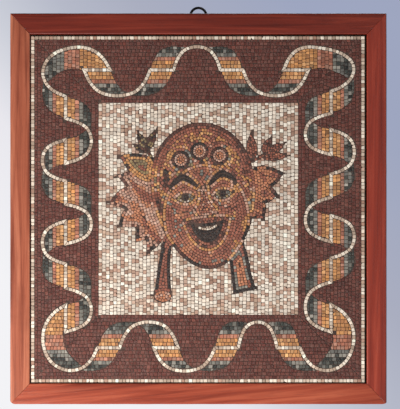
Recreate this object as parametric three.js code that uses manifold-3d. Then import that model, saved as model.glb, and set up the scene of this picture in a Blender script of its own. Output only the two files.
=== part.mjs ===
// A framed mosaic panel that hangs from an eye plate.
// Units are millimetres: X across the panel, Z up, the picture faces -Y.
// The panel is drawn about the centre of its frame, with Y = 0 on the back of the rails,
// and the last group moves the inner top of the hanging ring to the origin.
import * as THREE from "three";
import { mergeVertices } from "three/addons/utils/BufferGeometryUtils.js";
import Module from "manifold-3d";

const wasm = await Module();
wasm.setup();

// ---- driving dimensions ------------------------------------------------------------
const panelWidth = 520;
const panelHeight = 540;
// How far the frame's bottom corners are rubbed round, along the bottom rail and up the side rail.
const wornLeft = { along: 8, up: 5.5 };
const wornRight = { along: 8, up: 3 };
const frameDepth = 22;
const sideRailWidth = 27.5;
const endRailWidth = 29;
const railEdgeRadius = 1.8;
const rebateWidth = 9;
const rebateDepth = 5.5;
const gap = 0.3; // between pieces that touch

const boardThickness = 5;
const boardClearance = 0.8;
const bedThickness = 9;
const stoneThickness = 5;
const slabGapLeft = 0.8;
const slabGapRight = 2.2;
const slabGapBottom = 0.6;
const slabGapTop = 2.0;
const bareEdge = 0.4; // bed showing outside the outermost stones

const edgeLineWidth = 4.8;
const borderWidth = 94.5; // from the frame's opening to the central field

// The ribbon, measured inwards from the frame's opening.
const ribbonOuter = 17.5;
const ribbonMiddle = 49;
const ribbonInner = 84;
const lineWidth = 4.8;
const lineDepth = 2.4; // the pale line is set into the ribbon's stones
const foldFlat = 0.2; // share of each fold that runs along the side
// Guide points of a half wave, as shares of its run and its rise.
const waveStart = { run: 0.15, rise: 0.5 };
const waveEnd = { run: 0.52, rise: 1 };
const cornerPull = 0.6; // how far a corner loop's guide points reach towards the corner

// Where the ribbon crosses the middle of the border, as [start, end] of each crossing along
// its side, walking clockwise. A crossing that runs backwards is one where the ribbon turns over.
const crossings = {
  top: [[-122, -158], [-66.5, -34.5], [30.5, 61.5], [152, 118]],
  right: [[162.5, 132], [75, 109.5], [48, 16], [-45.5, -9.5], [-68, -101], [-170, -132.5]],
  bottom: [[140.5, 109], [55, 23], [-61.5, -28], [-109, -139.5]],
  left: [[-133, -170], [-109.5, -76], [-17, -48.5], [6.5, 38.5], [95.5, 63], [125, 155.5]],
};
// How far the corner loops reach along each side, at its first and last corner.
const cornerReach = {
  top: [-163, 149],
  right: [193, -175.5],
  bottom: [176, -174.5],
  left: [-178, 187],
};
// The inner lip of each corner loop: two guide points and the point where it meets the line.
const cornerLips = {
  topLeft: [[-185, 198], [-197, 186], [-204, 171]],
  topRight: [[179, 199], [193, 187], [204, 175]],
  bottomRight: [[191, -185], [179, -203], [164, -217]],
  bottomLeft: [[-191, -188], [-180, -203], [-159, -213]],
};

// The pictured theatre mask: an egg-shaped head with its own axes, across and along.
const headCentre = new THREE.Vector2(8, 18);
const headTilt = THREE.MathUtils.degToRad(6);
const headHalfWidth = 71;
const headHalfHeight = 101;
const headTaper = 0.14;

// The hanger.
const ringRadius = 11;
const ringWire = 1.8;
const ringDrop = 2; // ring centre below the top of the frame
const plateWidth = 38;
const plateHeight = 15;
const plateThickness = 2;
const screwSpacing = 24;
const screwRadius = 1.5;
const screwHeadRadius = 3.3;
const screwLength = 11;

const overlap = 0.01; // by which a cutter's edge passes the surface that it cuts
const cornerLeft = 0.6; // distance of a worn corner's turn from the sharp corner
const wearSteps = 3;
const waveSteps = 3;
const roundSteps = 6;
const leafSteps = 4;

// ---- derived sizes -----------------------------------------------------------------
const halfOpening = { x: panelWidth / 2 - sideRailWidth, z: panelHeight / 2 - endRailWidth };
const boardFront = -gap / 2 - boardThickness;
const bedBack = -rebateDepth;
const bedFront = bedBack - bedThickness;
const stoneBack = bedFront - gap;
const stoneFront = stoneBack - stoneThickness;
const slab = {
  left: -halfOpening.x + slabGapLeft,
  right: halfOpening.x - slabGapRight,
  bottom: -halfOpening.z + slabGapBottom,
  top: halfOpening.z - slabGapTop,
};

// ---- colours -----------------------------------------------------------------------
function material(color, roughness, metalness = 0) {
  return new THREE.MeshStandardMaterial({ color, roughness, metalness });
}
const wood = material(0x8a3a2b, 0.45);
const bronze = material(0x3a2c30, 0.4, 0.9);
const screwSteel = material(0x8a8780, 0.4, 0.9);
const ply = material(0xb79267, 0.8);
const mortar = material(0x8b7d72, 0.9);
const cream = material(0xd9c9b6, 0.55);
const ground = material(0x6b3f38, 0.55);
const ochre = material(0xb9822f, 0.55);
const fieldStone = material(0xd6c8ba, 0.55);
const redBrown = material(0x8a4a38, 0.55);
const orange = material(0xb5602f, 0.55);
const olive = material(0x8c7440, 0.55);
const black = material(0x1d1a1b, 0.5);
const pink = material(0xb98a7a, 0.55);
const grey = material(0x6f6d66, 0.55);

// ---- solids ------------------------------------------------------------------------
function toSolid(geometry) {
  const bare = geometry.clone();
  bare.deleteAttribute("normal");
  bare.deleteAttribute("uv");
  const merged = mergeVertices(bare, 1e-4);
  return new wasm.Manifold(new wasm.Mesh({
    numProp: 3,
    vertProperties: new Float32Array(merged.attributes.position.array),
    triVerts: new Uint32Array(merged.index.array),
  }));
}

function toGeometry(solid) {
  const mesh = solid.getMesh();
  const geometry = new THREE.BufferGeometry();
  geometry.setAttribute("position", new THREE.BufferAttribute(mesh.vertProperties, 3));
  geometry.setIndex(new THREE.BufferAttribute(mesh.triVerts, 1));
  geometry.computeVertexNormals();
  return geometry;
}

function joinAll(solids) {
  return solids.reduce((sum, solid) => sum.add(solid));
}

// A plate with the given outline in X and Z, from y = back forwards to y = front.
function plate(outline, back, front) {
  const geometry = new THREE.ExtrudeGeometry(new THREE.Shape(outline), {
    depth: back - front,
    bevelEnabled: false,
  });
  geometry.rotateX(Math.PI / 2);
  geometry.translate(0, back, 0);
  return toSolid(geometry);
}

const stonePlate = (outline) => plate(outline, stoneBack, stoneFront);
// A cutter reaches past both faces of the stones.
const cutter = (outline, margin = gap) => plate(grow(outline, margin), stoneBack + 1, stoneFront - 1);

// ---- outlines ----------------------------------------------------------------------
const point = (x, z) => new THREE.Vector2(x, z);

function rectangle(left, right, bottom, top) {
  return [point(left, bottom), point(right, bottom), point(right, top), point(left, top)];
}

function bezier(start, guideA, guideB, end, steps) {
  return new THREE.CubicBezierCurve(start, guideA, guideB, end).getPoints(steps);
}

// Moves every corner of a closed outline outwards by the same distance.
function grow(outline, distance) {
  const turn = THREE.ShapeUtils.area(outline) > 0 ? 1 : -1;
  return outline.map((corner, i) => {
    const before = outline[(i + outline.length - 1) % outline.length];
    const after = outline[(i + 1) % outline.length];
    const inward = corner.clone().sub(before).normalize();
    const onward = after.clone().sub(corner).normalize();
    const normal = point(inward.y + onward.y, -inward.x - onward.x).normalize();
    const spread = normal.x * inward.y - normal.y * inward.x;
    return corner.clone().addScaledVector(normal, (turn * distance) / Math.max(spread, 0.4));
  });
}

function ellipse(centre, halfAcross, halfAlong, steps) {
  return Array.from({ length: steps }, (_, i) => {
    const angle = (i / steps) * 2 * Math.PI;
    return point(centre.x + halfAcross * Math.cos(angle), centre.y + halfAlong * Math.sin(angle));
  });
}

// A strip along an open curve whose half width is given by a function of 0..1.
function strip(curvePoints, halfWidth) {
  const left = [];
  const right = [];
  curvePoints.forEach((spot, i) => {
    const before = curvePoints[Math.max(i - 1, 0)];
    const after = curvePoints[Math.min(i + 1, curvePoints.length - 1)];
    const along = after.clone().sub(before).normalize();
    const half = halfWidth(i / (curvePoints.length - 1));
    left.push(point(spot.x - along.y * half, spot.y + along.x * half));
    right.unshift(point(spot.x + along.y * half, spot.y - along.x * half));
  });
  return [...left, ...right];
}

// A pointed leaf from its foot to its tip.
function leaf(foot, tip, width) {
  const along = tip.clone().sub(foot);
  const side = point(-along.y, along.x).normalize().multiplyScalar(width * 0.72);
  const at = (share, lean) => foot.clone().addScaledVector(along, share).addScaledVector(side, lean);
  const up = bezier(foot, at(0.2, 1), at(0.65, 0.8), tip, leafSteps);
  const down = bezier(tip, at(0.65, -0.8), at(0.2, -1), foot, leafSteps);
  return [...up.slice(0, -1), ...down.slice(0, -1)];
}

// ---- frame -------------------------------------------------------------------------
// The rail's section: across from its outer edge, and forwards from its back.
function railSection(width) {
  const section = [point(0, 0)];
  const round = (cx, cd, from) => {
    for (let i = 0; i <= 3; i += 1) {
      const angle = from - (i / 3) * (Math.PI / 2);
      section.push(point(cx + railEdgeRadius * Math.cos(angle), cd + railEdgeRadius * Math.sin(angle)));
    }
  };
  round(railEdgeRadius, frameDepth - railEdgeRadius, Math.PI);
  round(width - railEdgeRadius, frameDepth - railEdgeRadius, Math.PI / 2);
  section.push(point(width, rebateDepth), point(width - rebateWidth, rebateDepth));
  section.push(point(width - rebateWidth, 0));
  return section;
}

// A rail along +X with its outer edge at the top; its ends are mitred to meet the other rails.
function mitredRail(length, width, otherWidth) {
  const geometry = new THREE.ExtrudeGeometry(new THREE.Shape(railSection(width)), {
    depth: 1,
    bevelEnabled: false,
  });
  const spots = geometry.attributes.position;
  for (let i = 0; i < spots.count; i += 1) {
    const across = spots.getX(i);
    const forwards = spots.getY(i);
    const end = spots.getZ(i) > 0.5 ? 1 : -1;
    const reach = length / 2 - gap / 2 - (across * otherWidth) / width;
    spots.setXYZ(i, -end * reach, -forwards, -across);
  }
  return geometry;
}

function turnedSolid(geometry, angle, x, z) {
  geometry.rotateY(angle);
  geometry.translate(x, 0, z);
  return toSolid(geometry);
}

// What has been rubbed off a bottom corner of the frame. side is -1 at the left and 1 at the right.
function cornerWear(side, worn) {
  const corner = point(side * panelWidth / 2, -panelHeight / 2);
  const along = point(corner.x - side * worn.along, corner.y - overlap);
  const up = point(corner.x + side * overlap, corner.y + worn.up);
  const turn = point(corner.x - side * cornerLeft, corner.y + cornerLeft);
  const round = new THREE.QuadraticBezierCurve(up, turn, along);
  const outline = [...round.getPoints(wearSteps), point(corner.x + side, corner.y - 1)];
  return plate(side > 0 ? outline : outline.reverse(), 1, -frameDepth - 1);
}

const screwSpots = [-screwSpacing / 2, screwSpacing / 2].map((x) => ({
  x,
  z: panelHeight / 2 - endRailWidth * 0.66,
}));

function screwHole(spot, radius) {
  const hole = new THREE.CylinderGeometry(radius, radius, 2 * screwLength + 8, 12);
  hole.translate(spot.x, 0, spot.z);
  return toSolid(hole);
}

// ---- hanger ------------------------------------------------------------------------
const ringCentre = point(0, panelHeight / 2 - ringDrop);
const ringY = gap + ringWire;

function hangerSolid() {
  const ring = new THREE.TorusGeometry(ringRadius, ringWire, 8, 20);
  ring.rotateX(Math.PI / 2);
  ring.translate(ringCentre.x, ringY, ringCentre.y);
  const plateTop = ringCentre.y - ringRadius + ringWire;
  const middle = point(0, plateTop - plateHeight / 2);
  const outline = ellipse(middle, plateWidth / 2, plateHeight / 2, 24).map((spot) => point(
    THREE.MathUtils.clamp((spot.x - middle.x) * 1.12, -plateWidth / 2, plateWidth / 2) + middle.x,
    THREE.MathUtils.clamp((spot.y - middle.y) * 1.25, -plateHeight / 2, plateHeight / 2) + middle.y,
  ));
  const back = plate(outline, gap + plateThickness, gap);
  const holes = screwSpots.map((spot) => screwHole(spot, screwRadius + gap));
  return joinAll([back, toSolid(ring)]).subtract(joinAll(holes));
}

function screwGeometry() {
  const headBase = 2 * gap + plateThickness;
  const profile = [
    point(0, -screwLength),
    point(screwRadius * 0.5, -screwLength + 1),
    point(screwRadius, -screwLength + 4),
    point(screwRadius, headBase),
    point(screwHeadRadius, headBase),
    point(screwHeadRadius * 0.82, headBase + 1.2),
    point(screwHeadRadius * 0.45, headBase + 1.8),
    point(0, headBase + 2),
  ];
  return new THREE.LatheGeometry(profile, 14);
}

// ---- the ribbon's route ------------------------------------------------------------
// Along a side, and inwards from the opening, to X and Z.
function onSide(side, along, inwards) {
  if (side === "top") return point(along, halfOpening.z - inwards);
  if (side === "bottom") return point(along, -halfOpening.z + inwards);
  if (side === "left") return point(-halfOpening.x + inwards, along);
  return point(halfOpening.x - inwards, along);
}

// Half a wave, from a crossing of the middle to where the ribbon runs along the side.
function halfWave(side, along, reach, depth) {
  const run = reach - along;
  const rise = depth - ribbonMiddle;
  return bezier(
    onSide(side, along, ribbonMiddle),
    onSide(side, along + waveStart.run * run, ribbonMiddle + waveStart.rise * rise),
    onSide(side, along + waveEnd.run * run, ribbonMiddle + waveEnd.rise * rise),
    onSide(side, reach, depth),
    waveSteps,
  );
}

const folds = ["top", "right", "bottom", "left"].flatMap((side) => crossings[side].map(
  ([start, end], i, all) => ({ side, start, end, first: i === 0, last: i === all.length - 1 }),
));

// The folds between crossings lie inside and outside by turns. Each crossing learns how far its
// edges run before they turn along the side.
folds.forEach((fold, k) => {
  const next = folds[(k + 1) % folds.length];
  const inside = k % 2 === 0;
  const depth = inside ? ribbonInner : ribbonOuter;
  let endReach = cornerReach[fold.side][1];
  let startReach = cornerReach[next.side][0];
  if (!fold.last) {
    const half = ((next.start - fold.end) / 2) * (1 - foldFlat);
    endReach = fold.end + half;
    startReach = next.start - half;
  }
  fold[inside ? "innerRun" : "outerRun"] = endReach - fold.end;
  next[inside ? "innerRun" : "outerRun"] = startReach - next.start;
  const out = halfWave(fold.side, fold.end, endReach, depth);
  const back = halfWave(next.side, next.start, startReach, depth).reverse();
  fold.arc = [...out, ...back];
  if (fold.last) {
    const from = out[out.length - 1];
    const to = back[0];
    const upright = fold.side === "right" || fold.side === "left";
    const corner = upright ? point(from.x, to.y) : point(to.x, from.y);
    const round = bezier(
      from,
      from.clone().lerp(corner, cornerPull),
      to.clone().lerp(corner, cornerPull),
      to,
      roundSteps,
    );
    fold.arc = [...out.slice(0, -1), ...round, ...back.slice(1)];
  }
});

// The pale line follows every fold and crosses the ribbon between them: one closed route.
const lineRoute = folds.flatMap((fold) => fold.arc);

// The ribbon where it crosses a side: both edges from the outer to the inner turn.
function crossingOutline(fold, innerOnly) {
  const edge = (along) => {
    const inner = halfWave(fold.side, along, along + fold.innerRun, ribbonInner);
    if (innerOnly) return inner;
    const outer = halfWave(fold.side, along, along + fold.outerRun, ribbonOuter);
    return [...outer.reverse(), ...inner.slice(1)];
  };
  return [...edge(fold.start), ...edge(fold.end).reverse()];
}

// A corner loop, from the crossing that it belongs to, out along the line and back by its lip.
function cornerOutline(arc, farEdge, lip) {
  const [guideA, guideB, meet] = lip.map(([x, z]) => point(x, z));
  const distances = arc.map((spot) => spot.distanceTo(meet));
  const stop = distances.indexOf(Math.min(...distances));
  const inner = bezier(farEdge, guideA, guideB, arc[stop], roundSteps);
  return [...arc.slice(0, stop), ...inner.reverse()];
}

const middleOf = (fold, along) => onSide(fold.side, along, ribbonMiddle);
const lastOf = (side) => folds.findLastIndex((fold) => fold.side === side);
const firstOf = (side) => folds.findIndex((fold) => fold.side === side);
const cornerOwners = [firstOf("top"), lastOf("top"), lastOf("right"), firstOf("left")];

function ribbonOutlines() {
  const [topLeft, topRight, bottomRight, bottomLeft] = cornerOwners.map((k) => folds[k]);
  const before = (k) => folds[(k + folds.length - 1) % folds.length];
  const backwards = (k) => [...before(k).arc].reverse();
  return [
    ...folds.map((fold, k) => crossingOutline(fold, cornerOwners.includes(k))),
    cornerOutline(backwards(cornerOwners[0]), middleOf(topLeft, topLeft.end), cornerLips.topLeft),
    cornerOutline(topRight.arc, middleOf(topRight, topRight.start), cornerLips.topRight),
    cornerOutline(bottomRight.arc, middleOf(bottomRight, bottomRight.start), cornerLips.bottomRight),
    cornerOutline(
      backwards(cornerOwners[3]),
      middleOf(bottomLeft, bottomLeft.end),
      cornerLips.bottomLeft,
    ),
  ];
}

// ---- the mask ----------------------------------------------------------------------
// Across and along the head's own axes to X and Z.
function onHead(across, along) {
  const cos = Math.cos(headTilt);
  const sin = Math.sin(headTilt);
  return point(
    headCentre.x + across * cos - along * sin,
    headCentre.y + across * sin + along * cos,
  );
}

function headEgg(steps) {
  return Array.from({ length: steps }, (_, i) => {
    const angle = (i / steps) * 2 * Math.PI;
    const narrowing = 1 + headTaper * Math.sin(angle);
    return onHead(headHalfWidth * narrowing * Math.cos(angle), headHalfHeight * Math.sin(angle));
  });
}

function headEllipse(across, along, halfAcross, halfAlong, steps = 14) {
  return ellipse(point(across, along), halfAcross, halfAlong, steps)
    .map((spot) => onHead(spot.x, spot.y));
}

function headStrip(points, halfWidth, steps = 6) {
  const curve = new THREE.SplineCurve(points.map(([a, b]) => onHead(a, b)));
  return strip(curve.getPoints(steps), halfWidth);
}

// A crescent between two sagging curves from corner to corner.
function crescent(halfAcross, along, sagAbove, sagBelow) {
  const left = onHead(-halfAcross, along);
  const right = onHead(halfAcross, along);
  const sagging = (sag) => [onHead(-halfAcross * 0.6, along - sag), onHead(halfAcross * 0.6, along - sag)];
  const [lowA, lowB] = sagging(sagBelow);
  const [highA, highB] = sagging(sagAbove);
  const below = bezier(left, lowA, lowB, right, 8);
  const above = bezier(right, highB, highA, left, 6);
  return [...below.slice(0, -1), ...above.slice(0, -1)];
}

const eyeLine = 0;
const eyeSpacing = 27;
const eyeHalfWidth = 13;
const eyeWidth = 13;
const mouthLine = -36;
const garlandLine = 62;
const garlandSag = 9;
const rosetteSpacing = 27;
const rosetteRadius = 12;
const head = headEgg(32);
const faceOval = headEllipse(0, -30, 60, 74, 24);
const noseSide = [[4, 10], [7, -10], [14, -19], [9, -27]];
const browLine = [[8, 14], [27, 28], [47, 16]];
const noseOutline = [...noseSide, ...noseSide.map(([a, b]) => [-a, b]).reverse()];

// What there is two of lies on the left (-1) and on the right (1).
const eye = (side) => leaf(
  onHead(side * (eyeSpacing - eyeHalfWidth), eyeLine - 1),
  onHead(side * (eyeSpacing + eyeHalfWidth), eyeLine),
  eyeWidth,
);
const pupil = (side) => headEllipse(side * (eyeSpacing - 1), eyeLine, 4, 4, 8);
const brow = (side) => headStrip(
  browLine.map(([across, along]) => [side * across, along]),
  (share) => 1.4 + 2.6 * Math.sin(Math.PI * share),
);

// Features: each cuts those listed after it.
const maskParts = [
  ["mask_teeth", crescent(17, mouthLine - 3.5, 4, 11), cream],
  ["mask_mouth", crescent(23, mouthLine, 3, 38), black],
  ["mask_lips", crescent(31, mouthLine + 3, -3, 53), redBrown],
  ["mask_nose", noseOutline.map(([a, b]) => onHead(a, b)), orange],
  ["mask_pupil_left", pupil(-1), black],
  ["mask_pupil_right", pupil(1), black],
  ["mask_eye_left", eye(-1), grey],
  ["mask_eye_right", eye(1), grey],
  ["mask_brow_left", brow(-1), black],
  ["mask_brow_right", brow(1), black],
];

const garlandParts = [-1, 0, 1].map((place, i) => {
  const along = garlandLine - (place === 0 ? 0 : garlandSag);
  const round = headEllipse(place * rosetteSpacing, along, rosetteRadius, rosetteRadius, 10);
  return [`garland_rosette_${i + 1}`, round, pink];
});

// A stem with leaves that leave it at given shares of its length: [share, tip, width].
function twig(foot, bend, tip, leaves) {
  const route = new THREE.QuadraticBezierCurve(foot, bend, tip);
  const stem = strip(route.getPoints(6), () => 1.6);
  const sprays = leaves.map(([share, leafTip, width]) => leaf(route.getPoint(share), leafTip, width));
  return [stem, ...sprays];
}

const p = point;
// Each plant is a group of outlines that grow from one foot behind the head.
const plants = [
  ["twig_left", twig(p(-52, 58), p(-68, 72), p(-72, 84), [
    [0.9, p(-59, 109), 11], [0.85, p(-84, 106), 11], [0.8, p(-89, 88), 9]]), black],
  ["leaf_left", [leaf(p(-48, 44), p(-109, 74), 34)], olive],
  ["vine_leaf_left", [
    leaf(p(-50, 30), p(-112, 46), 36), leaf(p(-50, 26), p(-124, 8), 40),
    leaf(p(-48, 18), p(-111, -25), 42), leaf(p(-46, 8), p(-86, -46), 38),
    leaf(p(-44, 4), p(-70, -62), 30)], orange],
  ["twig_right", twig(p(60, 62), p(80, 66), p(98, 80), [
    [0.75, p(119, 90), 14], [0.7, p(123, 73), 13], [0.8, p(100, 99), 13],
    [0.4, p(72, 104), 14]]), redBrown],
  ["vine_leaf_right", [
    leaf(p(60, 34), p(118, 50), 36), leaf(p(60, 26), p(110, 20), 38),
    leaf(p(60, 20), p(91, -13), 40)], orange],
];

// The ties hang from behind the head and widen towards their ends.
const tieEnd = p(-49, -121);
const leftTie = strip([p(-40, -30), p(-45, -60), p(-48, -90), tieEnd], (t) => 6 + 6 * t * t);
const rightTie = strip([p(50, -40), p(56, -70), p(60, -95), p(64, -114)], (t) => 12.5 + 3 * t * t);
const ties = [
  ["tie_left_end", [ellipse(tieEnd, 11.5, 7.5, 16)], orange],
  ["tie_left", [leftTie], redBrown],
  ["tie_right", [rightTie], grey],
];

// ---- building the stone areas -------------------------------------------------------
const meshes = [];

function addMesh(name, geometry, look) {
  const mesh = new THREE.Mesh(geometry, look);
  mesh.name = name;
  meshes.push(mesh);
  return mesh;
}

const addSolid = (name, solid, look) => addMesh(name, toGeometry(solid), look);

// Plates that cut everything laid after them.
let taken = null;

function lay(name, outlines, look, limit = null) {
  let solid = joinAll(outlines.map(stonePlate));
  if (limit) solid = solid.intersect(limit);
  if (taken) solid = solid.subtract(taken);
  addSolid(name, solid, look);
  const claim = joinAll(outlines.map((outline) => cutter(outline)));
  const trimmed = limit ? claim.intersect(limit) : claim;
  taken = taken ? taken.add(trimmed) : trimmed;
}

function layPicture() {
  [...maskParts, ...garlandParts].forEach(([name, outline, look]) => lay(name, [outline], look));
  lay("mask_face", [faceOval], redBrown, cutter(head, 0));
  lay("mask_hair", [head], olive);
  plants.forEach(([name, outlines, look]) => lay(name, outlines, look));
  ties.forEach(([name, outlines, look]) => lay(name, outlines, look));
}

const slabOutline = rectangle(slab.left, slab.right, slab.bottom, slab.top);

function layBorder() {
  const turn = THREE.ShapeUtils.area(lineRoute) > 0 ? lineRoute : [...lineRoute].reverse();
  const lineBetween = (half, back, front) => plate(grow(turn, half), back, front)
    .subtract(plate(grow(turn, -half), back + 1, front - 1));
  const half = lineWidth / 2;
  const lineBack = stoneFront + lineDepth;
  addSolid("ribbon_line", lineBetween(half, lineBack, stoneFront), cream);

  const outlines = ribbonOutlines();
  const whole = joinAll(outlines.map(stonePlate)).add(lineBetween(half, stoneBack, stoneFront));
  const groove = lineBetween(half + gap, lineBack + gap, stoneFront - 1);
  addSolid("ribbon", whole.subtract(groove), ochre);

  const claim = joinAll(outlines.map((outline) => cutter(outline)))
    .add(lineBetween(half + gap, stoneBack + 1, stoneFront - 1));
  const inset = edgeLineWidth + bareEdge;
  const outer = grow(slabOutline, -inset);
  const field = rectangle(...fieldLimits);
  const all = stonePlate(grow(outer, -gap)).subtract(cutter(field)).subtract(claim);
  const insideLine = plate(turn, stoneBack + 1, stoneFront - 1);
  addSolid("ground_outer", all.subtract(insideLine), ground);
  addSolid("ground_inner", all.intersect(insideLine), ground);

  const rim = stonePlate(grow(slabOutline, -bareEdge));
  addSolid("edge_line", rim.subtract(cutter(outer, 0)), cream);
}

const fieldLimits = [
  -halfOpening.x + borderWidth,
  halfOpening.x - borderWidth,
  -halfOpening.z + borderWidth,
  halfOpening.z - borderWidth,
];

// ---- assembly ----------------------------------------------------------------------
const holes = joinAll(screwSpots.map((spot) => screwHole(spot, screwRadius + gap)));
const topRail = mitredRail(panelWidth, endRailWidth, sideRailWidth);
addSolid("frame_rail_top", turnedSolid(topRail, 0, 0, panelHeight / 2).subtract(holes), wood);
const bottomRail = mitredRail(panelWidth, endRailWidth, sideRailWidth);
const bottomSolid = turnedSolid(bottomRail, Math.PI, 0, -panelHeight / 2);
const wearLeft = cornerWear(-1, wornLeft);
const wearRight = cornerWear(1, wornRight);
addSolid("frame_rail_bottom", bottomSolid.subtract(wearLeft).subtract(wearRight), wood);
const rightRail = mitredRail(panelHeight, sideRailWidth, endRailWidth);
const rightSolid = turnedSolid(rightRail, Math.PI / 2, panelWidth / 2, 0);
addSolid("frame_rail_right", rightSolid.subtract(wearRight), wood);
const leftRail = mitredRail(panelHeight, sideRailWidth, endRailWidth);
const leftSolid = turnedSolid(leftRail, -Math.PI / 2, -panelWidth / 2, 0);
addSolid("frame_rail_left", leftSolid.subtract(wearLeft), wood);

addSolid("hanger", hangerSolid(), bronze);
screwSpots.forEach((spot, i) => {
  const screw = addMesh(["hanger_screw_left", "hanger_screw_right"][i], screwGeometry(), screwSteel);
  screw.position.set(spot.x, 0, spot.z);
});

const boardHalf = {
  x: halfOpening.x + rebateWidth - boardClearance,
  z: halfOpening.z + rebateWidth - boardClearance,
};
const boardOutline = rectangle(-boardHalf.x, boardHalf.x, -boardHalf.z, boardHalf.z);
addSolid("backing_board", plate(boardOutline, -gap / 2, boardFront), ply);
addSolid("mortar_bed", plate(slabOutline, bedBack, bedFront), mortar);

layPicture();
addSolid("field", stonePlate(rectangle(...fieldLimits)).subtract(taken), fieldStone);
layBorder();

const panel = new THREE.Group();
panel.add(...meshes);
// The ring's inner top, where a nail or hook would carry the panel, goes to the origin.
panel.position.set(0, -ringY, -(ringCentre.y + ringRadius - ringWire));
panel.updateMatrixWorld(true);

const model = new THREE.Group();
model.add(panel);

export default model;
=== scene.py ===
"""Looks of the framed mosaic panel: some ten thousand separate stones, their grout, the wooden
frame and the hanger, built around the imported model. Drawing units are millimetres in the X-Z
plane, because the picture faces -Y; meshes are made in metres."""

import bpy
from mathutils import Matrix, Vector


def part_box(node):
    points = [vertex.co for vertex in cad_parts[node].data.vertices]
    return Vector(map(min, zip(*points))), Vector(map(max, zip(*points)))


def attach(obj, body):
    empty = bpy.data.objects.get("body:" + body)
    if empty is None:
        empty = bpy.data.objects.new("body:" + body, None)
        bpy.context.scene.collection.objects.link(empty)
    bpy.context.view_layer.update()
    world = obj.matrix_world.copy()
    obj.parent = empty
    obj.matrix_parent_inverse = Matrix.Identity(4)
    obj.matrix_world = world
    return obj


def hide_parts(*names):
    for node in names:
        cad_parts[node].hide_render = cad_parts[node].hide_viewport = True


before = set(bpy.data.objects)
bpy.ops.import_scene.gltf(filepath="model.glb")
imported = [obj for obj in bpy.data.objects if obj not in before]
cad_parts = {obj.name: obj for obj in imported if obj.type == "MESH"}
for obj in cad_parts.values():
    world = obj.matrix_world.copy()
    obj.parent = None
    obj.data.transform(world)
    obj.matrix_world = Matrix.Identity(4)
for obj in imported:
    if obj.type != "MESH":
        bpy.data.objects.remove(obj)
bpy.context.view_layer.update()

import math
import random

import bmesh
import bpy
import numpy as np
from mathutils import Matrix, Vector, noise

MM = 0.001
SQUARE = ((-1, -1), (1, -1), (1, 1), (-1, 1))  # the corners of a square about its middle

# ---- sizes, in millimetres -----------------------------------------------------------------
STONE = 5.2  # side of a usual stone, joint included
FINE_STONE = 3.9  # side of the picture's stones
JOINT = 0.5  # width of the grout between stones
AREA_GAP = 0.3  # between the solids of two neighbouring areas
STONE_DEPTH = 3.0
GROUT_DEPTH = 0.6  # grout surface below the stones' faces
EDGE_ROUNDING = 0.28
OUTLINE_DEPTH = 0.62 * FINE_STONE  # how deep the picture's dark outermost stones stand
# The rows of ground stones start and stop this far inwards from the frame's opening.
OUTER_GROUND = (5.2, 90.0)
INNER_GROUND = (14.0, 95.0)

RAIL_RADIUS = 1.8
ROUND_STEPS = 6
RAIL_PARTS = 48
RAIL_WEAR = 0.22  # the deepest wear of a rail's edges
REBATE = (9.0, 5.5)  # its width and depth
MITRE_GAP = 0.03
MITRE_EASE = 0.3
# How far the bottom corners are rubbed round: along the bottom rail and up the side rail.
WORN_LEFT = (8.0, 5.5)
WORN_RIGHT = (8.0, 3.0)
RING_RADIUS, RING_WIRE = 11.0, 1.8
RING_TURNS, WIRE_SIDES = 56, 16
PLATE_HEIGHT, PLATE_THICKNESS, PLATE_EASE = 15.0, 2.0, 0.4

# The ribbon's stripes: name and inner limit, measured inwards from the frame's opening, and
# how many rows of stones fill the stripe.
STRIPES = [
    ("dark", 25.5, 2), ("grey", 31.0, 1), ("red", 36.0, 1), ("ochre", 46.6, 2), ("cream", 51.4, 1),
    ("ochre", 62.0, 2), ("red", 67.8, 1), ("grey", 73.4, 1), ("dark", 84.0, 2),
]
STRIPES_START = 15.3
# The same on a corner loop, measured from the side that it turns along.
CORNER_STRIPES = [("dark", 35.5), ("grey", 46.0), ("red", 66.5), ("ochre", 200.0)]

# ---- colours, sRGB -------------------------------------------------------------------------
PALETTES = {
    "cream": [(230, 212, 192), (206, 184, 164), (240, 226, 208), (184, 160, 140)],
    "ground": [(104, 56, 47), (98, 51, 43), (110, 62, 52), (92, 47, 40), (108, 64, 55)],
    "ochre": [(206, 147, 92), (194, 135, 82), (214, 160, 108), (184, 127, 82)],
    "red": [(176, 113, 88), (164, 102, 80), (186, 126, 102), (174, 126, 106)],
    "grey": [(132, 128, 118), (114, 112, 106), (148, 142, 132)],
    "dark": [(52, 56, 52), (64, 66, 62), (42, 44, 42), (82, 82, 76)],
    "pale": [(232, 216, 198), (220, 202, 184), (242, 230, 214), (224, 210, 194)],
    "brown": [(186, 150, 130), (172, 134, 114), (198, 166, 146), (190, 160, 138)],
    "rust": [(150, 90, 72), (140, 82, 66), (160, 98, 80)],
    "terracotta": [(164, 102, 80), (154, 94, 76), (174, 112, 88), (148, 90, 74)],
    "orange": [(192, 126, 92), (184, 118, 86), (200, 134, 100)],
    "umber": [(92, 58, 50), (80, 52, 46), (104, 66, 56)],
    "olive": [(146, 124, 88), (134, 116, 88), (158, 134, 94)],
    "pink": [(198, 152, 130), (186, 138, 118), (206, 166, 146)],
    "black": [(46, 40, 40), (56, 48, 46), (38, 34, 34)],
}


def linear(colour):
    """An sRGB colour of 0 to 255 as linear light."""
    parts = [c / 255 for c in colour]
    return [p / 12.92 if p <= 0.04045 else ((p + 0.055) / 1.055) ** 2.4 for p in parts]


def pick(rng, name, spread=0.05):
    """A stone's colour: one of the palette's, a little lighter or darker."""
    shade = 1 + rng.gauss(0, spread)
    return linear([min(255, max(0, c * shade)) for c in rng.choice(PALETTES[name])])


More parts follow.
